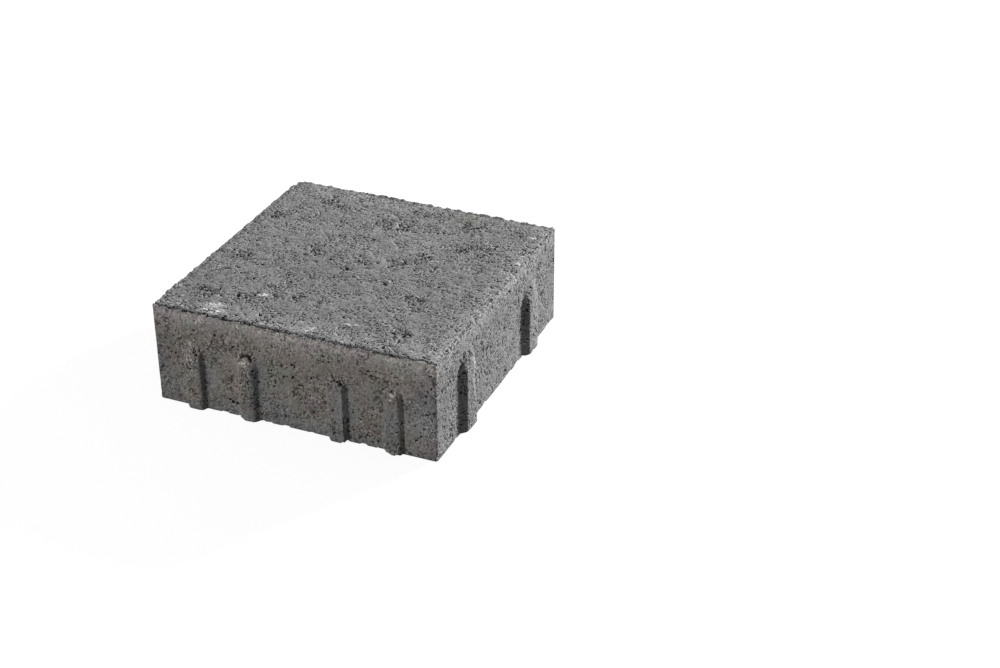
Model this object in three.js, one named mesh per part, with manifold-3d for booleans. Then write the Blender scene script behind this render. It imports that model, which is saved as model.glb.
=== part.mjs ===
// Square concrete paving stone with cast spacer ribs.
//
// Frame: millimetres, +Z up. The origin is the middle of the bed face, so the stone lies on z = 0 with
// its wearing face at the top. The ribs stand out of the four sides and end below the wearing face, so
// they vanish under the jointing sand. Two sides carry single ribs and the opposite two carry pairs:
// the single ribs of one stone nest between the pairs of the next, and every joint is one rib deep.

import * as THREE from 'three';
import { mergeVertices } from 'three/addons/utils/BufferGeometryUtils.js';
import Module from 'manifold-3d';

// Block
const stoneLength = 200; // along X, without the ribs
const stoneWidth = 200; // along Y, without the ribs
const stoneThickness = 70;
const cornerRadius = 0.6; // upright arrises
const arrisRadius = 0.5; // round of the top arrises, under the rim of the tamper

// Spacer ribs
const jointGap = 4; // how far a rib stands out, and so the joint that it keeps
const ribInset = 48; // from the end of a side to the middle of a rib station
const ribEndHeight = 39.5; // where a rib's top end begins, above the bed
const crownEnd = 2.5; // how far the crown runs on past there
const footEnd = 1; // how far the foot runs on past there, in crown widths
const ribFillet = 1.2; // blend along the foot
const crownRound = 1; // blend along the crown
const singleCrown = 15; // width of a single rib's flat crown
const singleDraft = 4; // how much it widens on each flank from crown to foot
const pairCrown = 10; // the same two of each rib in a pair
const pairDraft = 2.8;
const nestClearance = 1.5; // play on each side of a single rib between the pair that takes it
const ribRoot = 3; // depth of a rib inside the block

// Smoothness
const cornerSteps = 6;
const blendSteps = 3;
const ribEndSteps = 40; // round a full turn of a rib's nose

const concrete = new THREE.MeshStandardMaterial({ color: 0x7f7e7b, roughness: 0.95, metalness: 0 });

const wasm = await Module();
wasm.setup();

// A closed three.js geometry as a solid that can be joined and cut.
function toSolid(geometry) {
  const bare = geometry.clone();
  bare.deleteAttribute('normal');
  bare.deleteAttribute('uv');
  const merged = mergeVertices(bare, 1e-4);
  return new wasm.Manifold(new wasm.Mesh({
    numProp: 3,
    vertProperties: new Float32Array(merged.attributes.position.array),
    triVerts: new Uint32Array(merged.index.array),
  }));
}

function toGeometry(solid) {
  const mesh = solid.getMesh();
  const geometry = new THREE.BufferGeometry();
  geometry.setAttribute('position', new THREE.BufferAttribute(new Float32Array(mesh.vertProperties), 3));
  geometry.setIndex(new THREE.BufferAttribute(new Uint32Array(mesh.triVerts), 1));
  geometry.computeVertexNormals();
  return geometry;
}

// Plan of the block: a rectangle with rounded corners, centred on the origin.
function blockPlan() {
  const x = stoneLength / 2;
  const y = stoneWidth / 2;
  const plan = new THREE.Shape();
  plan.moveTo(cornerRadius - x, -y);
  plan.absarc(x - cornerRadius, cornerRadius - y, cornerRadius, -Math.PI / 2, 0);
  plan.absarc(x - cornerRadius, y - cornerRadius, cornerRadius, 0, Math.PI / 2);
  plan.absarc(cornerRadius - x, y - cornerRadius, cornerRadius, Math.PI / 2, Math.PI);
  plan.absarc(cornerRadius - x, cornerRadius - y, cornerRadius, Math.PI, 1.5 * Math.PI);
  return plan;
}

// The block rounds over into the wearing face. Its lower end is extruded past the bed and sawn off
// square, because the mould is open below and leaves a sharp arris there.
function block() {
  const bevel = {
    bevelEnabled: true,
    bevelThickness: arrisRadius,
    bevelSize: arrisRadius,
    bevelOffset: -arrisRadius,
    bevelSegments: blendSteps,
    curveSegments: cornerSteps,
  };
  const rounded = new THREE.ExtrudeGeometry(blockPlan(), { depth: stoneThickness, ...bevel });
  rounded.translate(0, 0, -arrisRadius);
  const belowBed = new THREE.BoxGeometry(2 * stoneLength, 2 * stoneWidth, stoneThickness);
  belowBed.translate(0, 0, -stoneThickness / 2);
  return toSolid(rounded).subtract(toSolid(belowBed));
}

// Half of a rib's section, from the middle of its crown to the middle of its root, as (distance from
// the middle, -stand-off): the crown, the drafted flank and the foot, with both corners blended.
function ribHalfSection(crownWidth, draft) {
  const crown = new THREE.Vector2(crownWidth / 2, -jointGap);
  const foot = new THREE.Vector2(crownWidth / 2 + draft, 0);
  const flank = foot.clone().sub(crown).normalize();
  const flankTop = crown.clone().addScaledVector(flank, crownRound);
  const flankFoot = foot.clone().addScaledVector(flank, -ribFillet);
  const path = new THREE.Path();
  path.moveTo(0, -jointGap);
  path.lineTo(crown.x - crownRound, crown.y);
  path.quadraticCurveTo(crown.x, crown.y, flankTop.x, flankTop.y);
  path.lineTo(flankFoot.x, flankFoot.y);
  path.quadraticCurveTo(foot.x, foot.y, foot.x + ribFillet, 0);
  path.lineTo(foot.x + ribFillet, ribRoot);
  path.lineTo(0, ribRoot);
  return path.getPoints(blendSteps);
}

// The top end of a rib: its section turned about its own middle, then stretched upwards into a nose
// that slopes from the crown down to the foot.
function ribNose(half, crownWidth, draft) {
  const nose = new THREE.LatheGeometry(half, ribEndSteps);
  const crownReach = crownWidth / 2;
  const slope = (footEnd * crownWidth - crownEnd) / draft;
  const { position } = nose.attributes;
  for (let i = 0; i < position.count; i += 1) {
    const reach = Math.hypot(position.getX(i), position.getZ(i));
    const run = reach > crownReach ? crownEnd + (reach - crownReach) * slope : reach * (crownEnd / crownReach);
    if (reach > 0) position.setZ(i, position.getZ(i) * (run / reach));
  }
  return nose;
}

// A rib on the side that faces -Y, with its middle at x = 0 and the side at y = 0: its section runs
// straight up from the bed and ends in the nose.
function rib(crownWidth, draft) {
  const half = ribHalfSection(crownWidth, draft);
  const otherHalf = half.slice(1, -1).reverse().map((p) => new THREE.Vector2(-p.x, p.y));
  const section = new THREE.Shape([...half, ...otherHalf]);
  const shank = new THREE.ExtrudeGeometry(section, { depth: ribEndHeight, bevelEnabled: false });
  const nose = ribNose(half, crownWidth, draft);
  nose.translate(0, 0, ribEndHeight);
  return toSolid(shank).add(toSolid(nose));
}

// Middles of the ribs along one side. A pair is spread until the foot of a single rib fits between
// its crowns with the nesting clearance.
function ribStations(sideLength, inPairs) {
  const station = sideLength / 2 - ribInset;
  if (!inPairs) return [-station, station];
  const singleFoot = singleCrown + 2 * (singleDraft + ribFillet);
  const spread = (singleFoot + pairCrown) / 2 + nestClearance;
  return [-station - spread, -station + spread, station - spread, station + spread];
}

// The sides, by how far each is turned from the one that faces -Y.
const sides = [
  { quarterTurns: 0, sideLength: stoneLength, toSide: stoneWidth / 2, inPairs: true }, // -Y
  { quarterTurns: 1, sideLength: stoneWidth, toSide: stoneLength / 2, inPairs: false }, // +X
  { quarterTurns: 2, sideLength: stoneLength, toSide: stoneWidth / 2, inPairs: false }, // +Y
  { quarterTurns: 3, sideLength: stoneWidth, toSide: stoneLength / 2, inPairs: true }, // -X
];

let stone = block();
for (const { quarterTurns, sideLength, toSide, inPairs } of sides) {
  const oneRib = inPairs ? rib(pairCrown, pairDraft) : rib(singleCrown, singleDraft);
  for (const station of ribStations(sideLength, inPairs)) {
    const placed = oneRib.translate([station, -toSide, 0]).rotate([0, 0, 90 * quarterTurns]);
    stone = stone.add(placed);
  }
}

const pavingStone = new THREE.Mesh(toGeometry(stone), concrete);
pavingStone.name = 'paving_stone';

const group = new THREE.Group();
group.add(pavingStone);

export default group;
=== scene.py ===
import math

import bpy
import numpy as np
from mathutils import Matrix, Vector


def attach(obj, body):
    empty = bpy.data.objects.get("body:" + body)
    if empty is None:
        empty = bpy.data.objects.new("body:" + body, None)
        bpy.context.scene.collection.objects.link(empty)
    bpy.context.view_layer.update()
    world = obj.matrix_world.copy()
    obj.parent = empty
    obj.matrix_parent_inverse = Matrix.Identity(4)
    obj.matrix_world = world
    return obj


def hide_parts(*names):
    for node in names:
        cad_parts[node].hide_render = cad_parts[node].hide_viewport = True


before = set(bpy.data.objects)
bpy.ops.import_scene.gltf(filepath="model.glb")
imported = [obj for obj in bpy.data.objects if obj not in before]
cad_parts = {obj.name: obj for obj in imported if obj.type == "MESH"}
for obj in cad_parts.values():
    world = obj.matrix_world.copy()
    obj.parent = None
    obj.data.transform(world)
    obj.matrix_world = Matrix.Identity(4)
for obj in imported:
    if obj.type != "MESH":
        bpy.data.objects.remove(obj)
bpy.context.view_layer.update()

scene = bpy.context.scene
mm = 0.001


# small helpers for node trees

def addNode(tree, kind, feeds=None, **settings):  # feeds: socket name or number -> value or socket
    node = tree.nodes.new(kind)
    for name, value in settings.items():
        setattr(node, name, value)
    for key, feed in (feeds or {}).items():
        if isinstance(feed, bpy.types.NodeSocket):
            tree.links.new(feed, node.inputs[key])
        else:
            node.inputs[key].default_value = feed
    return node


def calc(tree, operation, a, b=0.0, clamp=False):
    return addNode(tree, "ShaderNodeMath", {0: a, 1: b}, operation=operation, use_clamp=clamp).outputs[0]


def total(tree, *terms):
    result = terms[0]
    for term in terms[1:]:
        result = calc(tree, "ADD", result, term)
    return result


def product(tree, *factors):
    result = factors[0]
    for factor in factors[1:]:
        result = calc(tree, "MULTIPLY", result, factor)
    return result


def inverse(tree, mask):
    return calc(tree, "SUBTRACT", 1.0, mask)


def fade(tree, value, start, end, low=0.0, high=1.0):  # smooth step from low to high
    feeds = {"Value": value, "From Min": start, "From Max": end, "To Min": low, "To Max": high}
    return addNode(tree, "ShaderNodeMapRange", feeds, interpolation_type="SMOOTHSTEP").outputs["Result"]


def blend(tree, mask, low, high):  # low where the mask is 0, high where it is 1
    return fade(tree, mask, 0.0, 1.0, low, high)


def noise(tree, place, size, detail=2.0, roughness=0.5):  # size of a lump in mm
    feeds = {"Vector": place, "Scale": 1 / (size * mm), "Detail": detail, "Roughness": roughness}
    return addNode(tree, "ShaderNodeTexNoise", feeds).outputs["Fac"]


def wander(tree, place, size, low, high, detail=2.0, roughness=0.5):  # drifts between low and high
    return fade(tree, noise(tree, place, size, detail, roughness), 0.3, 0.7, low, high)


def stretched(tree, place, factors, shift=(0, 0, 0)):  # the same point in a stretched and shifted space
    feeds = {0: place, 1: factors, 2: shift}
    return addNode(tree, "ShaderNodeVectorMath", feeds, operation="MULTIPLY_ADD").outputs[0]


def shifted(tree, place, *shift):  # so that two noises of one place differ
    return stretched(tree, place, (1, 1, 1), shift)


def pushed(tree, place, push):
    return addNode(tree, "ShaderNodeVectorMath", {0: place, 1: push}, operation="ADD").outputs[0]


def scaled(tree, push, factor):
    return addNode(tree, "ShaderNodeVectorMath", {0: push, "Scale": factor}, operation="SCALE").outputs[0]


def namedMask(tree, name):
    if tree.type == "GEOMETRY":
        return addNode(tree, "GeometryNodeInputNamedAttribute", {"Name": name}, data_type="FLOAT").outputs[0]
    return addNode(tree, "ShaderNodeAttribute", attribute_name=name).outputs["Fac"]


def namedMasks(tree, *names):
    return [namedMask(tree, name) for name in names]


def newGroup(name, geometry, inputs, outputs):  # a node group with named sockets, for shapes or for colours
    tree = bpy.data.node_groups.new(name, "GeometryNodeTree" if geometry else "ShaderNodeTree")
    for names, side in ((inputs, "INPUT"), (outputs, "OUTPUT")):
        for socket, kind in names.items():
            tree.interface.new_socket(socket, in_out=side, socket_type="NodeSocket" + kind)
    return tree, addNode(tree, "NodeGroupInput").outputs


def placeGroup(tree, name, maker, feeds):  # puts a group, built once for each kind of tree, into this tree
    geometry = tree.type == "GEOMETRY"
    fullName = name + ("Shape" if geometry else "Colour")
    group = bpy.data.node_groups.get(fullName) or maker(fullName, geometry)
    kind = "GeometryNodeGroup" if geometry else "ShaderNodeGroup"
    return addNode(tree, kind, feeds, node_tree=group).outputs


def wobbled(tree, place, cell, strength):  # pushes each point about, by up to this share of a cell
    feeds = {"Vector": place, "Scale": calc(tree, "DIVIDE", 1.3, cell), "Detail": 2.0}
    push = addNode(tree, "ShaderNodeTexNoise", feeds).outputs["Color"]
    feeds = {0: push, 1: (0.5, 0.5, 0.5)}
    centred = addNode(tree, "ShaderNodeVectorMath", feeds, operation="SUBTRACT").outputs[0]
    return pushed(tree, place, scaled(tree, centred, product(tree, cell, 2 * strength)))


def makeGrains(name, geometry):  # packed sand: Crown is 1 on a grain and 0 in the gap round it
    tree, given = newGroup(name, geometry, {"Place": "Vector", "Cell": "Float"},
                           {"Crown": "Float", "Chance": "Float"})
    place = wobbled(tree, given["Place"], given["Cell"], 0.3)
    feeds = {"Vector": place, "Scale": calc(tree, "DIVIDE", 1.0, given["Cell"])}
    edge = addNode(tree, "ShaderNodeTexVoronoi", feeds, feature="DISTANCE_TO_EDGE")
    cells = addNode(tree, "ShaderNodeTexVoronoi", feeds)
    chance = addNode(tree, "ShaderNodeSeparateXYZ", {0: cells.outputs["Color"]}).outputs[0]
    crown = fade(tree, edge.outputs["Distance"], 0.02, 0.26)
    addNode(tree, "NodeGroupOutput", {"Crown": crown, "Chance": chance})
    return tree


def makeHoles(name, geometry):  # ragged holes: Share of the cells hold one, up to Radius cells in reach; the second output marks the rim round each, for a painted highlight
    tree, given = newGroup(name, geometry,
                           {"Place": "Vector", "Cell": "Float", "Share": "Float", "Radius": "Float"},
                           {"Hole": "Float", "Lip": "Float"})
    place = wobbled(tree, given["Place"], given["Cell"], 0.55)
    scale = calc(tree, "DIVIDE", 1.0, given["Cell"])
    cells = addNode(tree, "ShaderNodeTexVoronoi", {"Vector": place, "Scale": scale}).outputs
    chance = addNode(tree, "ShaderNodeSeparateXYZ", {0: cells["Color"]}).outputs[0]
    excess = total(tree, chance, calc(tree, "SUBTRACT", given["Share"], 1.0))  # above 0 in an open cell
    reach = product(tree, calc(tree, "MULTIPLY", excess, 4.0, clamp=True), given["Radius"])
    depth = calc(tree, "SUBTRACT", reach, cells["Distance"])
    hole = fade(tree, depth, -0.02, 0.1)
    paintedHighlightRim = product(tree, fade(tree, depth, -0.22, -0.06), fade(tree, excess, 0.0, 0.05))
    addNode(tree, "NodeGroupOutput", {"Hole": hole, "Lip": paintedHighlightRim})
    return tree


def grains(tree, place, cell):  # cell in mm
    out = placeGroup(tree, "sandGrains", makeGrains, {"Place": place, "Cell": cell * mm})
    return out["Crown"], out["Chance"]


def holes(tree, place, cell, share, radius):
    feeds = {"Place": place, "Cell": cell * mm, "Share": share, "Radius": radius}
    out = placeGroup(tree, "airHoles", makeHoles, feeds)
    return out["Hole"], out["Lip"]


# camera

cameraSet = {
    "azimuth": 22.901,
    "elevation": 30.084,
    "roll": -0.171,
    "place": (0.52983, -1.01611, 0.67836),
    "lens": 69.87,
    "sensor": 36.0,
}


def addCamera():
    a, e = math.radians(cameraSet["azimuth"]), math.radians(cameraSet["elevation"])
    back = Vector((math.sin(a) * math.cos(e), -math.cos(a) * math.cos(e), math.sin(e)))
    right = Vector((math.cos(a), math.sin(a), 0))
    level = Matrix((right, back.cross(right), back)).transposed()
    turn = level @ Matrix.Rotation(math.radians(cameraSet["roll"]), 3, "Z")
    data = bpy.data.cameras.new("camera")
    data.lens = cameraSet["lens"]
    data.sensor_width = cameraSet["sensor"]
    camera = bpy.data.objects.new("camera", data)
    camera.matrix_world = Matrix.Translation(cameraSet["place"]) @ turn.to_4x4()
    scene.collection.objects.link(camera)
    scene.camera = camera
    print("camera: lens of", cameraSet["lens"], "mm")


# studio

studio = {
    "keyFrom": (62, 15.5),  # degrees: from +X towards +Y, above the floor
    "keyLight": 2.9,  # brightness that it gives a white surface square to it
    "fillFrom": (-124, 24),
    "fillLight": 0.64,
    "lampDistance": 2.5,
    "lampSize": 0.7,
    "sky": 0.29,
    "floorSize": 12.0,
    "floorGlow": 0.88,
    "floorPaint": 0.18,
}


def addLamp(name, direction, brightness):
    around, above = (math.radians(angle) for angle in direction)
    toLamp = Vector((math.cos(around) * math.cos(above), math.sin(around) * math.cos(above), math.sin(above)))
    data = bpy.data.lights.new(name, "AREA")
    data.shape = "DISK"
    data.size = studio["lampSize"]
    data.energy = brightness * (math.pi * studio["lampDistance"]) ** 2
    lamp = bpy.data.objects.new(name, data)
    lamp.matrix_world = (Matrix.Translation(toLamp * studio["lampDistance"])
                         @ toLamp.to_track_quat("Z", "Y").to_matrix().to_4x4())
    scene.collection.objects.link(lamp)


def seenDirectly(tree):  # 1 for what the camera sees, also in a gloss or through glass
    rays = addNode(tree, "ShaderNodeLightPath")
    direct = calc(tree, "MAXIMUM", rays.outputs["Is Camera Ray"], rays.outputs["Is Glossy Ray"])
    return calc(tree, "MAXIMUM", direct, rays.outputs["Is Transmission Ray"])


def addStudio():
    addLamp("keyLamp", studio["keyFrom"], studio["keyLight"])
    addLamp("fillLamp", studio["fillFrom"], studio["fillLight"])
    world = bpy.data.worlds.new("paleRoom")
    world.use_nodes = True
    sky = world.node_tree.nodes["Background"]
    sky.inputs["Color"].default_value = (1, 1, 1, 1)
    strength = blend(world.node_tree, seenDirectly(world.node_tree), studio["sky"], 1.0)
    world.node_tree.links.new(strength, sky.inputs["Strength"])
    scene.world = world

    half = studio["floorSize"] / 2
    corners = [(-half, -half, 0), (half, -half, 0), (half, half, 0), (-half, half, 0)]
    mesh = bpy.data.meshes.new("floor")
    mesh.from_pydata(corners, [], [(0, 1, 2, 3)])
    floor = bpy.data.objects.new("floor", mesh)
    scene.collection.objects.link(floor)
    material = bpy.data.materials.new("paleFloor")
    material.use_nodes = True
    tree = material.node_tree
    tree.nodes.clear()
    glowing = product(tree, seenDirectly(tree), studio["floorGlow"])
    paint = addNode(tree, "ShaderNodeBsdfDiffuse", {"Color": (*[studio["floorPaint"]] * 3, 1)})
    glow = addNode(tree, "ShaderNodeEmission", {"Strength": glowing})
    both = addNode(tree, "ShaderNodeAddShader", {0: paint.outputs[0], 1: glow.outputs[0]})
    addNode(tree, "ShaderNodeOutputMaterial", {"Surface": both.outputs[0]})
    mesh.materials.append(material)
    print("studio: lamps, sky and floor")


# the cast stone

stone = {
    "voxel": 0.5 * mm,
    "triangles": 194000,
    "half": 0.1,  # from the middle to a side, without the ribs, in metres as the top's height is
    "top": 0.07,
    "topFrom": 69.5,  # heights above this, in mm, count as the top
    "skin": 5 * mm,  # how deep the flaws of a face reach into it
    "sheetSize": 424,  # of the flat map, in mm, and where the middle or foot of each side lies on it
    "sheet": {"top": (106, 318), "bed": (318, 318),
              "-y": (106, 138), "+y": (318, 138), "-x": (106, 62), "+x": (318, 62)},

    # sizes of the texture in mm: of cells, of lumps, and of areas that differ
    "size": {"grain": 2.1, "fineGrain": 1.1, "smallHole": 1.9, "largeHole": 3.2, "speck": 1.4,
             "patch": 8.0, "raggedness": 5.0, "liveliness": 11.0, "lump": 6.0, "lift": 7.0,
             "mottle": 14.0, "streak": 1.1, "stain": 9.0, "moss": 17.0, "lime": 2.6},
    "lively": (0.62, 1.38),  # least and most contrast of the texture, which changes from area to area
    # how deep each flaw is, in mm
    "depth": {"gap": 0.4, "speck": 0.4, "hole": 0.9, "large": 0.9, "crevice": 1.0, "void": 2.0, "chip": 2.0},
    "lumps": (-0.15, 0.29),  # lowest and highest swelling in mm
    "lift": 1.6,  # how far the foot stands clear of the floor, at most
    # broken edges: mask, size of a lump in mm, detail, roughness, where the noise starts and ends, and the
    # height in mm that it gives at the start and at the end
    "broken": [("rim", 4.0, 3.0, 0.65, 0.35, 0.7, 0.3, -1.4),
               ("burr", 5.5, 4.0, 0.65, 0.4, 0.64, 0.05, 1.2),
               ("corner", 4.5, 3.0, 0.6, 0.42, 0.7, 0.05, -0.9)],
    # hollow seams behind three top edges: set back and half width in mm, and the least share of that width,
    # below 0 where the seam closes
    "crevices": {"near": (2.2, 0.95, 0.08), "right": (0.9, 0.75, -1.7), "left": (2.6, 0.6, -1.4)},
    # how strong they are: at the two ends of the near edge, and along the other edges
    "creviceStrength": {"left": 0.9, "right": 0.7, "others": 0.52},
    # shares of its reach that the bump adds, mostly for what is too fine for the mesh
    "bump": {"fineCrown": 0.12, "fineChance": 0.08, "gap": 0.4, "speck": 0.3, "hole": 0.5, "crevice": 0.6},
    "bumpReach": 0.7 * mm,

    "gloss": 0.2,
    "roughness": (0.85, 0.98),
    "paste": 0.234,  # its grey, and what the flaws make of it: painted shade in holes, crevices and voids, and a painted highlight on the rim round each hole
    "shade": {"bare": 1.12, "hole": 0.05, "paintedHighlightRim": 1.28, "crevice": 0.26, "void": 0.12},
    "middle": 0.85,  # the share of it about which the contrast works, and the least share
    "darkest": 0.04,
    "lime": 0.2,  # added by lime bloom, and by a fleck
    "fleck": 0.28,
    "warmth": 0.13,  # the share that red gains and blue loses in a warm stain
    "moss": 0.045,  # how far the near side drifts towards green and back, and what the mossy spots add
    "mossSpot": 0.033,
    "olive": 0.84,  # the share of blue that an olive stain leaves

    # thin spots in the wearing face, where the pores crowd: x, y, reach in mm
    "thinSpots": [(-86, 44, 8), (-60, 78, 8), (-52, 73, 6), (-38, 55, 4), (-12, 60, 9), (2, 63, 8),
                  (-5, 73, 6), (20, 84, 6), (46, 78, 8), (68, 46, 9), (55, 47, 8), (76, 38, 5), (-37, 7, 7),
                  (-4, 7, 6), (-6, -10, 5), (20, 13, 8), (30, 17, 7), (36, 24, 5), (25, -17, 3.5),
                  (56, -30, 8), (49, -31, 6), (59, -39, 5), (-15, -53, 7), (-79, -17, 8), (-71, -69, 7),
                  (-80, -69, 6), (-82, -90, 9), (-54, -69, 6), (-48, -69, 6), (-47, -94, 6), (66, -75, 7),
                  (-25, -83, 8), (75, 25, 6), (-87, -95, 4), (-74, -95, 4), (-62, -95, 5), (-47, -95, 5),
                  (-30, -96, 4), (-9, -96, 3), (18, -96, 3), (43, -95, 4), (68, -95, 5), (91, -94, 4),
                  (94, 30, 4), (94, 58, 5), (95, 6, 4)],
    # olive stains and lime bloom on the wearing face: x, y, reach in mm, strength
    "oliveSpots": [(41, 91, 9, 0.5), (33, 84, 6, 0.3)],
    "blooms": [(-61, -88, 8.5, 1.0), (-39.5, -60.5, 5, 0.45), (10, -89, 6, 0.5), (51, -82, 7, 0.45),
               (30, -73, 5, 0.4), (8, -87, 8, 0.5), (96, 41, 4, 0.4), (94, -62, 7, 0.45), (93, -30, 6, 0.4),
               (-4, 89, 7, 0.35)],
    # flecks of lime: x, y, reach across and along in mm
    "flecks": [(91, 80.5, 2.4, 1.8), (96, 41.5, 1.9, 1.6), (95.5, 52, 1.0, 0.8), (-39.5, -60.5, 2.6, 1.8),
               (-43, -62, 2.2, 1.0), (-65.5, -84, 1.6, 1.5), (-60.5, -82, 1.3, 1.3), (-57, -91.5, 1.8, 1.3),
               (-56.5, -87, 1.1, 1.4), (-67, -91.5, 1.5, 1.1), (-63, -95, 1.7, 1.0), (-61, -87.5, 0.9, 1.2),
               (10, -87.5, 1.6, 1.2), (7, -91, 1.3, 1.1), (28, -74.6, 2.4, 1.1), (33, -73, 1.2, 0.7),
               (-97, -70, 1.1, 2.6), (-88, -81.5, 1.0, 1.2)],
    # flaws on the sides, each: place along the side, height, reach along, reach up, strength
    # the pits are also darkened in the colour, as painted shade
    "pits": {
        "-y": [(70.6, 45.6, 1.5, 1.0, 1.0), (66.6, 41.0, 1.2, 1.0, 0.9), (72.4, 39.6, 0.9, 1.3, 0.8),
               (-90.8, 39.2, 1.0, 0.9, 1.0), (-88.1, 37.2, 1.3, 0.9, 1.1), (-93.0, 31.2, 0.9, 0.9, 1.0),
               (-7.8, 45.0, 0.9, 2.0, 1.1), (-3.6, 44.2, 0.8, 1.3, 0.9), (-73.4, 46.0, 0.9, 1.2, 0.9),
               (-69.2, 51.6, 0.7, 1.6, 0.9), (-69.8, 42.8, 1.0, 1.2, 1.0), (-68.4, 37.0, 0.8, 1.4, 1.0),
               (54.2, 55.4, 1.2, 0.9, 0.95), (56.4, 52.6, 1.3, 0.9, 0.9), (52.4, 53.2, 1.0, 0.8, 0.85),
               (-21.0, 22.9, 0.9, 0.7, 0.9), (-13.3, 28.5, 0.8, 0.8, 0.85), (-19.1, 15.8, 0.9, 0.7, 0.85),
               (-13.2, 13.2, 0.8, 0.8, 0.85), (-73.6, 34.8, 0.9, 0.9, 0.9), (59.5, 5.0, 1.3, 1.1, 1.1),
               (12.6, 37.0, 0.9, 0.9, 0.9), (52.8, 27.0, 1.0, 0.8, 0.9), (93.2, 31.8, 1.0, 0.9, 0.9),
               (86.2, 23.8, 1.2, 0.9, 0.9), (90.0, 46.0, 0.8, 1.8, 0.8), (96.8, 61.6, 0.9, 1.4, 0.9),
               (98.6, 57.4, 0.8, 3.0, 0.8), (98.2, 34.6, 0.9, 1.2, 0.9), (-85.0, 4.4, 2.4, 0.8, 0.9),
               (-49.0, 2.2, 0.9, 1.1, 0.9), (69.5, 4.2, 1.0, 1.4, 1.1), (72.0, 2.8, 1.8, 0.9, 1.0),
               (79.0, 2.8, 1.0, 0.8, 0.9), (14.2, 15.4, 0.9, 1.5, 0.8), (-34.6, 19.2, 1.1, 0.8, 0.8)],
        "+x": [(51.5, 47.7, 1.1, 1.2, 0.8), (52.9, 32.2, 1.0, 0.8, 0.8), (59.0, 18.4, 0.9, 0.9, 0.7),
               (55.3, 12.0, 1.7, 1.0, 0.7), (56.4, 58.2, 0.9, 0.8, 0.8), (29.6, 56.6, 0.9, 0.8, 0.8),
               (15.0, 5.8, 0.9, 0.7, 0.75), (1.0, 42.6, 0.9, 0.7, 0.7), (0.6, 15.8, 1.0, 0.8, 0.75),
               (13.4, 57.0, 0.8, 0.8, 0.7), (17.4, 29.4, 1.0, 0.8, 0.7), (-76.6, 5.4, 1.1, 0.8, 0.75),
               (-71.6, 36.6, 0.9, 0.7, 0.75), (-50.7, 54.0, 0.9, 1.1, 0.75), (-49.8, 51.6, 1.0, 1.5, 0.85),
               (-52.7, 51.6, 0.8, 1.2, 0.7), (-55.4, 50.0, 0.8, 1.5, 0.8), (-52.6, 47.4, 0.8, 1.0, 0.65),
               (-56.6, 45.6, 0.8, 1.2, 0.7), (-57.6, 51.4, 0.7, 1.1, 0.6), (-51.8, 42.0, 1.0, 0.9, 0.75),
               (-37.0, 56.0, 0.9, 1.0, 0.6), (-24.4, 23.7, 1.0, 0.8, 0.65), (-3.0, 35.2, 0.9, 0.8, 0.7)],
    },
    "worn": {
        "+x": [(-41.0, 32.0, 7.0, 15.0, 0.4)],
        "-y": [(-65.5, 48.5, 5.0, 5.0, 1.0), (39.6, 48.5, 4.0, 5.4, 1.0), (77.4, 48.6, 4.0, 5.0, 1.0),
               (64.0, 47.0, 3.4, 5.0, 0.8), (76.6, 20.0, 1.6, 30.0, 0.3), (-27.6, 20.0, 1.4, 26.0, 0.12),
               (-66.4, 20.0, 1.2, 26.0, 0.06), (66.5, 3.0, 2.6, 7.0, 0.35), (79.0, 2.0, 2.6, 6.0, 0.4)],
    },
    "chips": {
        "+x": [(-97.0, 0.5, 4.0, 2.5, 0.9), (-79.0, 0.0, 4.0, 2.0, 0.8)],
        "-x": [(96.5, 70.0, 4.6, 3.0, 0.6)],
    },
    # pale grains; those on the +x rib noses and on the caps of the two left near ribs are painted highlights
    # where the rib ends catch the light
    "paleGrainsAndHighlights": {
        "-y": [(-72.8, 48.0, 2.6, 5.0, 0.6), (-73.2, 38.0, 2.4, 8.0, 0.58), (-33.4, 43.4, 3.8, 2.7, 0.68),
               (70.9, 43.9, 1.2, 1.1, 1.9), (70.6, 40.6, 1.4, 1.0, 1.9)],
        "+x": [(-49.6, 49.0, 1.3, 3.2, 0.85), (-48.2, 43.6, 1.2, 3.6, 1.0), (62.0, 44.0, 2.2, 6.0, 0.8),
               (60.5, 38.0, 1.2, 2.6, 0.78)],
    },
    # tints, listed as the flaws are; the cool ones beside the near ribs' right flanks paint the cool tint of
    # their shade
    "warmSpots": {"-y": [(-60, 54, 26, 6, 0.6), (0, 52, 60, 7, 0.6), (60, 52, 30, 7, 0.5),
                         (-45, 32, 8, 18, 0.8), (-72, 14, 5, 7, 0.8), (10, 34, 16, 16, 0.5),
                         (55, 16, 6, 8, 0.8), (-86, 34, 5, 14, 0.5)]},
    "coolSpotsAndShadeTint": {"-y": [(-96, 16, 8, 18, 0.8), (-64, 26, 3, 16, 0.8), (-24, 26, 5, 20, 1.0),
                         (-14, 10, 10, 10, 0.7), (36, 22, 6, 22, 1.0), (72, 18, 6, 14, 0.9),
                         (92, 34, 8, 20, 0.8), (0, 2, 80, 6, 0.8)]},
    "mossSpots": {"-y": [(-17, 40, 8, 16, 1.0), (-6, 14, 16, 9, 1.0), (74, 16, 6, 10, 0.7)]},
    # hollow seams along the rib ends, darkened in the colour as painted shade, each: width, strength, points
    # along it
    "seams": {
        "-y": [(0.8, 1.2, [(-38.0, 43.4), (-35.8, 46.4), (-33.8, 47.6), (-31.6, 47.9), (-29.6, 47.0),
                           (-28.6, 44.8)]),
               (0.65, 0.95, [(27.4, 49.6), (28.6, 47.8), (29.8, 45.6), (32.0, 44.6), (34.4, 44.2),
                             (36.2, 43.0)]),
               (0.8, 0.8, [(-67.6, 38.6), (-68.2, 42.0), (-69.8, 44.6)])],
        "+x": [(0.8, 0.65, [(-66.0, 46.5), (-63.0, 49.4), (-60.0, 51.0)])],
    },
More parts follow.
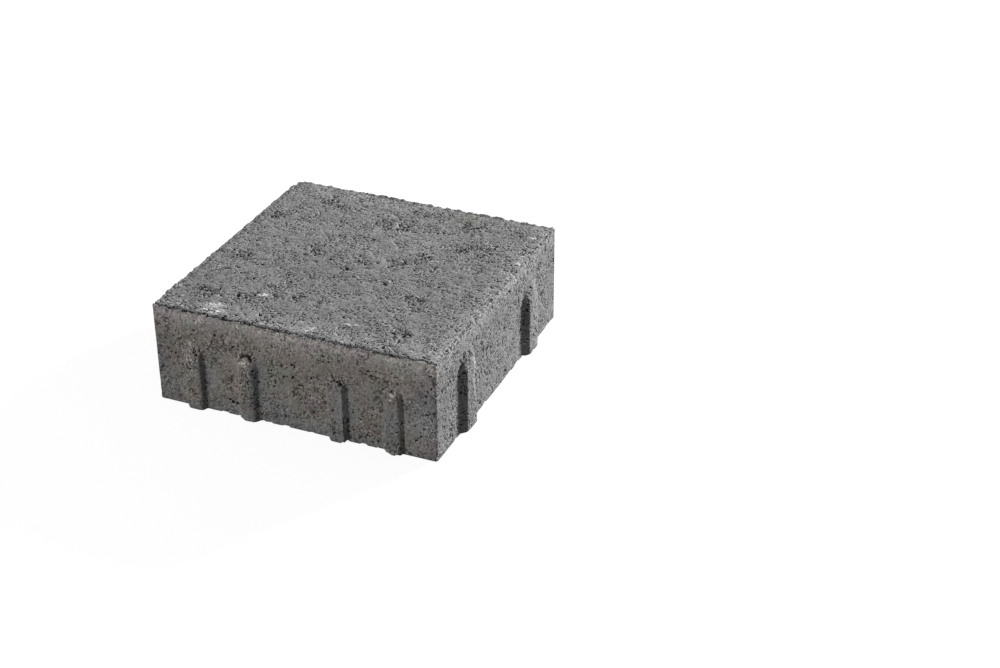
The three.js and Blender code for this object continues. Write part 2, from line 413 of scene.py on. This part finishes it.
    # the near ribs as cast: station, and how far the left foot, the crown's edge and the right foot drift
    "nearRibs": [(-71.2, -0.4, -0.3, -1.5), (-32.8, 0.0, 0.1, -0.6), (32.8, -0.9, -1.2, -3.9),
                 (71.2, 0.0, -0.2, -3.9)],
    # one rib reaches higher than its neighbours: side, station, how far it is stretched up by height, and how
    # far it drifts by the place across it
    "tallRib": ("+x", -52, ([22, 36, 46, 64], [0, 4, 5, 0]), ([-26, -15, 15, 26], [0, -1.2, -1.2, 0])),
    # broad pale and dark areas, and painted shade and painted light on the near ribs' right flanks: place
    # along the face, height (or y on the top), reach along, reach up, amount
    "tonesAndPaintedLight": {
        "top": [(-60, 92, 40, 9, 0.12), (32, 82, 30, 16, -0.1), (84, 86, 22, 14, -0.08),
                (-24, -22, 22, 16, -0.12), (-92, -64, 18, 18, -0.1), (88, -84, 26, 20, 0.14),
                (-24, -90, 16, 9, 0.1), (96, 50, 8, 36, -0.1), (8, 46, 22, 12, 0.06), (68, 4, 12, 12, -0.1),
                (-56, 34, 16, 24, 0.04), (-4, 89, 9, 6, 0.1), (28, 46.5, 3.6, 4.2, 0.34),
                (-30, 92, 6, 4, 0.16), (-50, 91, 5, 4, 0.14), (-74, 98, 5, 3, 0.18), (-45, 85, 8, 6, 0.06),
                (8, 15, 9, 7, 0.06), (15, -46, 6, 5, 0.08), (-60, -89, 9, 5, 0.06)],
        "-y": [(-95, 34, 16, 44, -0.11), (0, 60, 22, 6, 0.16), (90, 22, 9, 14, 0.24),
               (50, 55, 14, 7, -0.12), (-52, 67, 12, 3, -0.18), (-25.4, 22, 1.5, 24, -0.2),
               (-64.4, 22, 1.4, 24, -0.28), (76.2, 22, 2.2, 26, 0.34), (37.2, 22, 2.0, 24, 0.28),
               (85, 52, 6, 5, -0.1), (12, 10, 14, 12, 0.05)],
        "+x": [(96, 40, 12, 60, -0.1), (82, 68, 30, 4, -0.14), (14, 65, 26, 4, 0.14),
               (-30, 60, 12, 4, 0.14), (-8, 52, 14, 4, -0.12), (-92, 69, 12, 3, -0.14),
               (-82, 34, 24, 40, -0.03), (57, 26, 4, 18, 0.12)],
    },
    "topPaintedLight": -0.045,  # painted light: how much lighter the top is, and how much more so by its distance from each edge
    "rimPaintedLight": {"+x": ([0, 1, 2, 5, 8, 12, 16], [0.16, 0.34, 0.42, 0.3, 0.19, 0.06, 0.0]),
                 "+y": ([0, 1, 2, 4, 8, 12, 18], [0.06, 0.13, 0.25, 0.06, 0.04, 0.06, 0.0]),
                 "-y": ([0, 2, 4, 8, 12, 18, 26], [0.25, 0.1, 0.36, 0.3, 0.19, 0.14, 0.05]),
                 "-x": ([0, 2, 5, 9, 14], [-0.08, -0.08, 0.0, 0.05, 0.0])},
    # painted light and shade by height: how much lighter the sides are, on the near side and on the others
    "nearPaintedLight": ([0, 3, 8, 48, 56, 62, 64, 65.5, 67, 69, 70],
                  [-0.18, -0.135, -0.09, -0.068, 0.0, 0.155, 0.275, 0.465, 0.6, 0.42, 0.37]),
    "farPaintedLight": ([0, 4, 14, 50, 57, 60, 64, 66.5, 68.5, 70],
                 [0.04, 0.0, -0.05, -0.09, -0.07, 0.01, 0.08, 0.23, 0.21, 0.02]),
    "rimWear": {"+x": 0.45, "+y": 0.3, "-y": 0.9, "-x": 0.1},  # how far each top edge has crumbled
    # how far a burr stands up along the far edges, by place along them
    "rimBurr": {"+y": ([-100, 100], [1.1, 1.1]), "-x": ([-100, -50, 0, 100], [1.3, 0.9, 0.4, 0.4])},
    "chippedCorner": (1, -1),  # the others are sound
}

sideAxes = {"-y": (0, 1, -1), "+x": (1, 0, 1), "+y": (0, 1, 1), "-x": (1, 0, -1)}  # along, outward, which way


def placesOf(mesh, name):
    found = np.empty(len(mesh.vertices) * 3, np.float32)
    mesh.attributes[name].data.foreach_get("vector", found)
    return found.reshape(-1, 3)


def seenFrom(place, side):  # each point's place along a side, and how far out towards it the point lies
    run, outward, way = sideAxes[side]
    return place[:, run], way * place[:, outward]


def within(distance, reach):  # 1 at no distance, 0 from this reach on, in mm
    return np.clip(1 - distance / (reach * mm), 0, 1)


def cornerDistance(place):
    return np.hypot(stone["half"] - np.abs(place[:, 0]), stone["half"] - np.abs(place[:, 1]))


def nearSide(place):  # 1 on the side that faces -Y
    x, y = place.T[:2]
    return np.clip((-y - stone["half"]) / (2 * mm) + 1, 0, 1) * (np.abs(x) < -y + 1 * mm)


def topSpots(place, spots):  # how strongly each point of the top lies in one of these round spots
    strength = np.zeros(len(place))
    for x, y, reach, *height in spots:
        distance = np.hypot(place[:, 0] - x * mm, place[:, 1] - y * mm) / (reach * mm)
        strength = np.maximum(strength, (height[0] if height else 1.0) * np.clip(1.5 - distance, 0, 1))
    return strength * (place[:, 2] > stone["top"] - stone["skin"])


def sideSpots(place, spots):  # the same for flattened spots on the sides
    strength = np.zeros(len(place))
    for side, rows in spots.items():
        run, out = seenFrom(place, side)
        near = out > stone["half"] - stone["skin"]
        for along, up, reachAlong, reachUp, height in rows:
            across, above = (run - along * mm) / (reachAlong * mm), (place[:, 2] - up * mm) / (reachUp * mm)
            strength = np.maximum(strength, height * np.clip(1.5 - np.hypot(across, above), 0, 1) * near)
    return strength


def sideSeams(place, seams):  # the same for lines on the sides
    strength = np.zeros(len(place))
    for side, rows in seams.items():
        run, out = seenFrom(place, side)
        near = out > stone["half"] - stone["skin"]
        spot = np.stack([run[near], place[near, 2]], axis=1)
        for width, height, points in rows:
            for start, end in zip(points[:-1], points[1:]):
                start, step = np.array(start) * mm, (np.array(end) - np.array(start)) * mm
                along = np.clip((spot - start) @ step / (step @ step), 0, 1)
                distance = np.linalg.norm(spot - start - along[:, None] * step, axis=1) / (width * mm)
                strength[near] = np.maximum(strength[near], height * np.clip(1.5 - distance, 0, 1))
    return strength


# broad areas of tone, with painted shade and painted light on the near ribs' right flanks
def broadTonesAndPaintedLight(place):
    z = place[:, 2] / mm
    amount = np.zeros(len(place))
    for face, rows in stone["tonesAndPaintedLight"].items():
        if face == "top":
            on, run, rise = z > stone["topFrom"], place[:, 0] / mm, place[:, 1] / mm
        else:
            run, out = (numbers / mm for numbers in seenFrom(place, face))
            on, rise = (z <= stone["topFrom"]) & (np.abs(run) < out + 1), z
        for along, up, reachAlong, reachUp, strength in rows:
            spread = -((run - along) / reachAlong) ** 2 - ((rise - up) / reachUp) ** 2
            amount += on * strength * np.exp(spread)
    return amount


def rimWear(place):  # how much each point near a top edge may crumble
    wear = np.zeros(len(place))
    for side, strength in stone["rimWear"].items():
        wear = np.maximum(wear, strength * (seenFrom(place, side)[1] > stone["half"] - 6 * mm))
    return wear * np.clip(cornerDistance(place) / (6 * mm) - 0.3, 0, 1)


def rimBurr(place):  # and how far it may stand up in a burr
    burr = np.zeros(len(place))
    for side, curve in stone["rimBurr"].items():
        run, out = seenFrom(place, side)
        burr = np.maximum(burr, (out > stone["half"] - 3 * mm) * np.interp(run / mm, *curve))
    return burr


def paintedLightAndTones(place):  # how much lighter the paste is painted: painted light and shade by height on the sides and along the rim of the top, plus the broad areas of tone
    z = place[:, 2] / mm
    near, far = np.interp(z, *stone["nearPaintedLight"]), np.interp(z, *stone["farPaintedLight"])
    sides = np.where(nearSide(place) > 0.5, near, far)
    top = np.full(len(place), stone["topPaintedLight"])
    for side, curve in stone["rimPaintedLight"].items():
        top += np.interp(100 - seenFrom(place, side)[1] / mm, *curve)
    return np.where(z > stone["topFrom"], np.minimum(top, 0.5), sides) + broadTonesAndPaintedLight(place)


def settleRibs(mesh):  # the ribs as cast: a little off their stations, one stretched, their noses worn
    place = placesOf(mesh, "position")
    x, y, z = place.T
    onNear = -y > stone["half"] - 3 * mm
    for station, *drift in stone["nearRibs"]:
        x += onNear * np.interp(x / mm - station, [-16, -10, 5, 9, 16], [0, *drift, 0]) * mm
    side, station, reach, aside = stone["tallRib"]
    run, out = seenFrom(place, side)
    on = out > stone["half"] - 3 * mm
    beside = np.clip(2.5 - np.abs(run / mm - station) / 8, 0, 1)
    z += on * beside * np.interp(z / mm, *reach) * mm
    run += on * np.interp(run / mm - station, *aside) * mm
    for side, rows in stone["worn"].items():
        _, outward, way = sideAxes[side]
        for row in rows:
            standOff = np.maximum(way * place[:, outward] - stone["half"], 0)
            place[:, outward] -= way * standOff * sideSpots(place, {side: [row]})
    mesh.vertices.foreach_set("co", place.ravel())


def paintMasks(mesh):  # where each finish belongs, for the shape and for the colour, and where light and shade are painted
    place = placesOf(mesh, "position")
    x, y, z = place.T
    toSide = stone["half"] - np.maximum(np.abs(x), np.abs(y))  # negative on the ribs
    toTop = stone["top"] - z
    toRim = np.hypot(np.clip(toSide, 0, 1), np.clip(toTop, 0, 1))
    toCorner = cornerDistance(place)
    chippable = (x * stone["chippedCorner"][0] > 0) & (y * stone["chippedCorner"][1] > 0)
    masks = {
        "wearing": within(toTop, 1.2),
        "bed": within(z, 1.0),
        "rim": within(toRim, 3.5) * rimWear(place),
        "burr": within(toRim, 2) * rimBurr(place),
        "corner": within(toCorner, 2.5) * chippable,
        "sound": within(toCorner, 2) * ~chippable,
        "foot": (within(z, 4) * within(np.clip(toSide, 0, 1), 3)
                 * np.where(chippable, 1, np.clip(toCorner / (14 * mm), 0, 1))),
        "near": nearSide(place),
        "thin": topSpots(place, stone["thinSpots"]),
        "olive": topSpots(place, stone["oliveSpots"]),
        "bloom": topSpots(place, stone["blooms"]),
        "void": np.maximum(sideSpots(place, stone["pits"]), sideSeams(place, stone["seams"])),
        "chip": sideSpots(place, stone["chips"]),
        "pale": sideSpots(place, stone["paleGrainsAndHighlights"]),
        "tint": sideSpots(place, stone["warmSpots"]) - sideSpots(place, stone["coolSpotsAndShadeTint"]),
        "moss": sideSpots(place, stone["mossSpots"]),
        "paintedLightAndTones": paintedLightAndTones(place),
    }
    for name, values in masks.items():
        painted = mesh.attributes.new(name, "FLOAT", "POINT").data
        painted.foreach_set("value", np.ascontiguousarray(values, np.float32))
    mesh.attributes.new("asCast", "FLOAT_VECTOR", "POINT").data.foreach_set("vector", place.ravel())


def settle(piece):  # works the modifiers into the mesh
    evaluated = piece.evaluated_get(bpy.context.evaluated_depsgraph_get())
    mesh = bpy.data.meshes.new_from_object(evaluated)
    piece.modifiers.clear()
    piece.data = mesh


def openTexture(tree, place):  # where the sand lies open, and what shows there: shared by shape and colour
    # paste here is the painted light and shade by height and along the top edges, with the broad areas of
    # tone
    thin, wearing, bed, near, paste = namedMasks(tree, "thin", "wearing", "bed", "near", "paintedLightAndTones")
    size = stone["size"]
    patch = fade(tree, noise(tree, place, size["patch"], 4.0, 0.65), 0.42, 0.66)
    uneven = product(tree, noise(tree, place, size["raggedness"], 4.0, 0.6), 2.9)
    ragged = fade(tree, total(tree, product(tree, thin, 0.6), uneven), 1.62, 2.12)
    onTop = product(tree, wearing, total(tree, product(tree, ragged, 0.72), product(tree, patch, 0.28)))
    aside = total(tree, product(tree, patch, 0.4), blend(tree, near, 0.2, 0.25))
    onSide = product(tree, inverse(tree, wearing), aside, fade(tree, paste, 0.1, 0.4, 1.0, 0.5))
    bare = product(tree, total(tree, onTop, onSide), inverse(tree, bed))
    crown, chance = grains(tree, place, size["grain"])
    area = noise(tree, shifted(tree, place, 0.9, 0, 0), size["liveliness"])
    lively = fade(tree, area, 0.35, 0.65, *stone["lively"])
    # dark specks where the sand stands apart
    spread = product(tree, calc(tree, "SUBTRACT", lively, 1.0), blend(tree, wearing, 0.03, 0.055))
    openness = total(tree, product(tree, bare, 0.07), product(tree, wearing, 0.018), spread)
    crumb = calc(tree, "SUBTRACT", noise(tree, place, size["speck"], 2.5, 0.6), openness)
    speck = fade(tree, crumb, 0.36, 0.42, 1.0, 0.0)
    # holes that air and dropped grains leave
    few = product(tree, blend(tree, wearing, 0.04, 0.15), blend(tree, near, 1.0, 0.3))
    smallShare = total(tree, product(tree, bare, 0.5), few)
    largeShare = total(tree, product(tree, bare, 0.48), few, -0.02)
    small, smallLip = holes(tree, place, size["smallHole"], smallShare, 0.5)
    large, largeLip = holes(tree, place, size["largeHole"], largeShare, 0.46)
    hole = calc(tree, "MAXIMUM", small, large)
    paintedHighlightRim = product(tree, calc(tree, "MAXIMUM", smallLip, largeLip), inverse(tree, hole))
    return {"bare": bare, "gap": inverse(tree, crown), "chance": chance, "speck": speck, "hole": hole,
            "large": large, "paintedHighlightRim": paintedHighlightRim, "lively": lively}


def seamLine(tree, across, along, setBack, halfWidth, narrowest):  # a pitted seam behind a top edge, in mm
    drift = wander(tree, along, 14.0, -0.7 * mm, 0.7 * mm, 3.0)
    kinks = wander(tree, shifted(tree, along, 0.7, 0, 0), 5.0, -0.25 * mm, 0.25 * mm)
    offset = calc(tree, "ABSOLUTE", total(tree, across, setBack * mm - stone["half"], drift, kinks))
    uneven = noise(tree, shifted(tree, along, 0.3, 0, 0), 3.2, 4.0, 0.65)
    width = fade(tree, uneven, 0.32, 0.7, narrowest * halfWidth * mm, 2.1 * halfWidth * mm)
    return fade(tree, calc(tree, "SUBTRACT", width, offset), -0.2 * mm, 0.2 * mm)


def creviceLine(tree, place):  # seams behind the near edge and, fainter, the right and left ones
    x, y, z = addNode(tree, "ShaderNodeSeparateXYZ", {0: place}).outputs
    strength = stone["creviceStrength"]
    kink = fade(tree, calc(tree, "ABSOLUTE", calc(tree, "SUBTRACT", x, 90 * mm)), 0.0, 6 * mm, 1.8 * mm, 0.0)
    alongX, alongY = stretched(tree, place, (1, 0, 0)), stretched(tree, place, (0, 1, 0))
    elsewhere = stretched(tree, place, (0, 1, 0), (0.5, 0, 0))
    near = seamLine(tree, calc(tree, "SUBTRACT", kink, y), alongX, *stone["crevices"]["near"])
    right = seamLine(tree, x, alongY, *stone["crevices"]["right"])
    left = seamLine(tree, product(tree, x, -1.0), elsewhere, *stone["crevices"]["left"])
    near = product(tree, near, fade(tree, x, -40 * mm, 10 * mm, strength["left"], strength["right"]))
    others = product(tree, calc(tree, "MAXIMUM", right, left), strength["others"])
    return product(tree, calc(tree, "MAXIMUM", near, others), fade(tree, z, 68.0 * mm, 69.3 * mm))


def fleckMask(tree, place):  # small flecks of lime on the wearing face
    push = wander(tree, place, 1.2, -0.35, 0.35)
    thickness = 3 * mm
    nearest = 9.0  # in reaches of a fleck, and far from all of them
    for x, y, reachAcross, reachAlong in stone["flecks"]:
        scale = (1 / (reachAcross * mm), 1 / (reachAlong * mm), 1 / thickness)
        shift = (-x / reachAcross, -y / reachAlong, -stone["top"] / thickness)
        inside = {0: stretched(tree, place, scale, shift)}
        distance = addNode(tree, "ShaderNodeVectorMath", inside, operation="LENGTH").outputs["Value"]
        nearest = calc(tree, "MINIMUM", distance, nearest)
    return fade(tree, total(tree, nearest, push), 0.75, 1.05, 1.0, 0.0)


def voidMask(tree, place):  # the pits and seams with ragged rims
    ragged = fade(tree, noise(tree, place, 1.5, 3.0, 0.6), 0.25, 0.75, -0.6, 0.6)
    return fade(tree, total(tree, namedMask(tree, "void"), ragged), 0.5, 0.9)


def reliefTree():  # moves each point of the even skin in or out, and lifts the foot
    tree, given = newGroup("castRelief", True, {"Geometry": "Geometry"}, {"Geometry": "Geometry"})
    place = addNode(tree, "GeometryNodeInputPosition").outputs[0]
    normal = addNode(tree, "GeometryNodeInputNormal").outputs[0]
    wearing, bed, foot, sound, chip = namedMasks(tree, "wearing", "bed", "foot", "sound", "chip")
    texture = openTexture(tree, place)
    size = stone["size"]
    depth = {name: -deep * mm for name, deep in stone["depth"].items()}

    lowest, highest = stone["lumps"]
    lumps = product(tree, wander(tree, place, size["lump"], lowest * mm, highest * mm, 2.0, 0.6),
                    blend(tree, wearing, 0.35, 0.9))
    broken = []
    for mask, lump, detail, roughness, start, end, low, high in stone["broken"]:
        ragged = fade(tree, noise(tree, place, lump, detail, roughness), start, end, low * mm, high * mm)
        broken.append(product(tree, ragged, namedMask(tree, mask)))
    height = total(tree, lumps, *broken,
                   product(tree, voidMask(tree, place), depth["void"]),
                   product(tree, texture["gap"], texture["bare"], depth["gap"]),
                   *[product(tree, texture[name], depth[name]) for name in ("speck", "hole", "large")],
                   product(tree, creviceLine(tree, place), depth["crevice"]))
    height = total(tree, product(tree, height, blend(tree, sound, 1.0, 0.3)),
                   fade(tree, chip, 0.2, 1.0, 0.0, depth["chip"]))
    height = product(tree, height, inverse(tree, bed))
    lift = fade(tree, noise(tree, place, size["lift"], 3.0, 0.5), 0.5, 0.74, 0.0, stone["lift"] * mm)
    lifted = addNode(tree, "ShaderNodeCombineXYZ", {2: product(tree, lift, foot)}).outputs[0]
    offset = pushed(tree, scaled(tree, normal, height), lifted)
    moved = addNode(tree, "GeometryNodeSetPosition", {"Geometry": given["Geometry"], "Offset": offset})
    addNode(tree, "NodeGroupOutput", {"Geometry": moved.outputs[0]})
    return tree


def concrete():
    material = bpy.data.materials.new("pressedConcrete")
    material.use_nodes = True
    tree = material.node_tree
    shader = tree.nodes["Principled BSDF"]
    shader.inputs["Specular IOR Level"].default_value = stone["gloss"]
    place = addNode(tree, "ShaderNodeAttribute", attribute_name="asCast").outputs["Vector"]
    # paste here is the painted light and shade by height and along the top edges, with the broad areas of
    # tone
    wearing, bloom, near, pale, tint, paste, olive, moss = namedMasks(
        tree, "wearing", "bloom", "near", "pale", "tint", "paintedLightAndTones", "olive", "moss")
    texture = openTexture(tree, place)
    crevice, void = creviceLine(tree, place), voidMask(tree, place)
    size, lively = stone["size"], texture["lively"]
    fineCrown, fineChance = grains(tree, place, size["fineGrain"])

    # the fine texture: each grain's own tone, dark gaps, specks darkened as painted shade of their pits, and
    # upright streaks on the near side
    streaks = noise(tree, stretched(tree, place, (1, 1, 0.4)), size["streak"])
    streakTone = fade(tree, product(tree, calc(tree, "SUBTRACT", streaks, 0.5), near), -0.2, 0.2, 0.84, 1.16)
    gapDark = product(tree, texture["gap"], total(tree, 0.05, product(tree, texture["bare"], 0.12)))
    speckPaintedShade = calc(tree, "SUBTRACT", blend(tree, wearing, 0.86, 0.88), product(tree, near, 0.36))
    fine = product(tree, blend(tree, texture["chance"], 0.94, 1.06), blend(tree, fineChance, 0.78, 1.22),
                   streakTone, blend(tree, fineCrown, 0.72, 1.02), inverse(tree, gapDark),
                   inverse(tree, product(tree, texture["speck"], speckPaintedShade)))
    fine = total(tree, product(tree, calc(tree, "SUBTRACT", fine, stone["middle"]), lively), stone["middle"])

    # how light the paste is: its grey, the painted light and broad areas of tone, painted shade in holes,
    # crevices and voids, and painted highlights on the rims round holes
    shades = {**texture, "crevice": crevice, "void": void}
    level = product(tree, stone["paste"], calc(tree, "MAXIMUM", fine, stone["darkest"]),
                    wander(tree, place, size["mottle"], 0.9, 1.11, 3.0, 0.6), total(tree, 1.0, paste),
                    total(tree, 0.85, product(tree, lively, 0.15)),
                    *[blend(tree, shades[name], 1.0, shade) for name, shade in stone["shade"].items()])

    # pale grains and painted highlights on the rib ends, lime bloom and flecks on it
    solid = inverse(tree, texture["hole"])
    brightGrainAndHighlight = fade(tree, total(tree, pale, fineChance), 1.15, 1.45)
    limeField = total(tree, bloom, product(tree, fineChance, 0.3), noise(tree, place, size["lime"], 4.0, 0.7))
    lime = product(tree, fade(tree, limeField, 1.05, 1.45), solid, blend(tree, fineCrown, 0.4, 1.0))
    level = total(tree, level, product(tree, brightGrainAndHighlight, fade(tree, pale, 1.1, 1.7, 0.24, 0.5)),
                  product(tree, lime, stone["lime"]),
                  product(tree, fleckMask(tree, place), solid, stone["fleck"]))

    # warm and mossy stains on the near side, with the painted cool tint of shade beside its ribs, olive ones
    # on the top
    stain = wander(tree, place, size["stain"], -0.5, 0.5, 3.0, 0.6)
    warmth = product(tree, near, total(tree, 0.45, product(tree, tint, 0.5), product(tree, stain, 0.3)),
                     stone["warmth"])
    red = product(tree, level, total(tree, 1.0, warmth))
    blue = product(tree, level, inverse(tree, warmth), blend(tree, olive, 1.0, stone["olive"]))
    drift = wander(tree, shifted(tree, place, 0, 0, 0.4), size["moss"], -stone["moss"], stone["moss"])
    mossy = total(tree, drift, product(tree, moss, stone["mossSpot"]))
    green = product(tree, level, total(tree, 1.0, product(tree, mossy, near)))
    colour = addNode(tree, "ShaderNodeCombineColor", {0: red, 1: green, 2: blue}).outputs[0]
    tree.links.new(colour, shader.inputs["Base Color"])
    tree.links.new(blend(tree, fineChance, *stone["roughness"]), shader.inputs["Roughness"])

    reach = stone["bump"]
    height = total(tree, product(tree, fineCrown, lively, reach["fineCrown"]),
                   product(tree, fineChance, lively, reach["fineChance"]),
                   product(tree, texture["gap"], texture["bare"], -reach["gap"]),
                   product(tree, texture["speck"], lively, -reach["speck"]),
                   product(tree, texture["hole"], -reach["hole"]), product(tree, crevice, -reach["crevice"]))
    feeds = {"Strength": 1.0, "Distance": stone["bumpReach"], "Height": height}
    bump = addNode(tree, "ShaderNodeBump", feeds)
    tree.links.new(bump.outputs["Normal"], shader.inputs["Normal"])
    return material


def layOut(mesh):  # keeps the bed flat on the floor, and maps each side on one square sheet
    place = placesOf(mesh, "position")
    place[:, 2] = np.maximum(place[:, 2], 0)
    mesh.vertices.foreach_set("co", place.ravel())
    corners = np.empty(len(mesh.loops), np.int32)
    mesh.loops.foreach_get("vertex_index", corners)
    triangles = placesOf(mesh, "asCast")[corners].reshape(-1, 3, 3)
    x, y, z = triangles.mean(axis=1).T
    facing = np.cross(triangles[:, 1] - triangles[:, 0], triangles[:, 2] - triangles[:, 0])
    flat = np.abs(facing[:, 2]) > 0.7 * np.linalg.norm(facing, axis=1)
    alongX = np.abs(y) > np.abs(x)
    upper = z > stone["top"] / 2
    spots = {  # which triangles lie there, and which two axes the sheet shows
        "top": (flat & upper, 0, 1),
        "bed": (flat & ~upper, 0, 1),
        "-y": (~flat & alongX & (y < 0), 0, 2),
        "+y": (~flat & alongX & (y >= 0), 0, 2),
        "-x": (~flat & ~alongX & (x < 0), 1, 2),
        "+x": (~flat & ~alongX & (x >= 0), 1, 2),
    }
    flatMap = np.zeros((len(triangles), 3, 2))
    for name, (chosen, across, up) in spots.items():
        flatMap[chosen] = triangles[chosen][:, :, [across, up]] / mm + stone["sheet"][name]
    layer = mesh.uv_layers.new(name="OFBake")
    layer.data.foreach_set("uv", np.ascontiguousarray(flatMap / stone["sheetSize"], np.float32).ravel())
    mesh.polygons.foreach_set("use_smooth", ~spots["bed"][0])


def addStone():
    piece = bpy.data.objects.new("castStone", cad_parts["paving_stone"].data.copy())
    scene.collection.objects.link(piece)
    skin = piece.modifiers.new("evenSkin", "REMESH")
    skin.mode = "VOXEL"
    skin.voxel_size = stone["voxel"]
    settle(piece)
    print("stone: even skin of", len(piece.data.polygons), "faces")
    settleRibs(piece.data)
    paintMasks(piece.data)
    relief = piece.modifiers.new("relief", "NODES")
    relief.node_group = reliefTree()
    settle(piece)
    thinning = piece.modifiers.new("thinning", "DECIMATE")
    thinning.ratio = stone["triangles"] / (2 * len(piece.data.polygons))
    thinning.use_collapse_triangulate = True
    settle(piece)
    print("stone: cast relief in", len(piece.data.polygons), "triangles")
    layOut(piece.data)
    piece.data.materials.clear()
    piece.data.materials.append(concrete())
    print("stone: pressed concrete")
    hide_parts("paving_stone")
    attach(piece, "root")


addCamera()
addStudio()
addStone()

scene.view_settings.view_transform = "Standard"
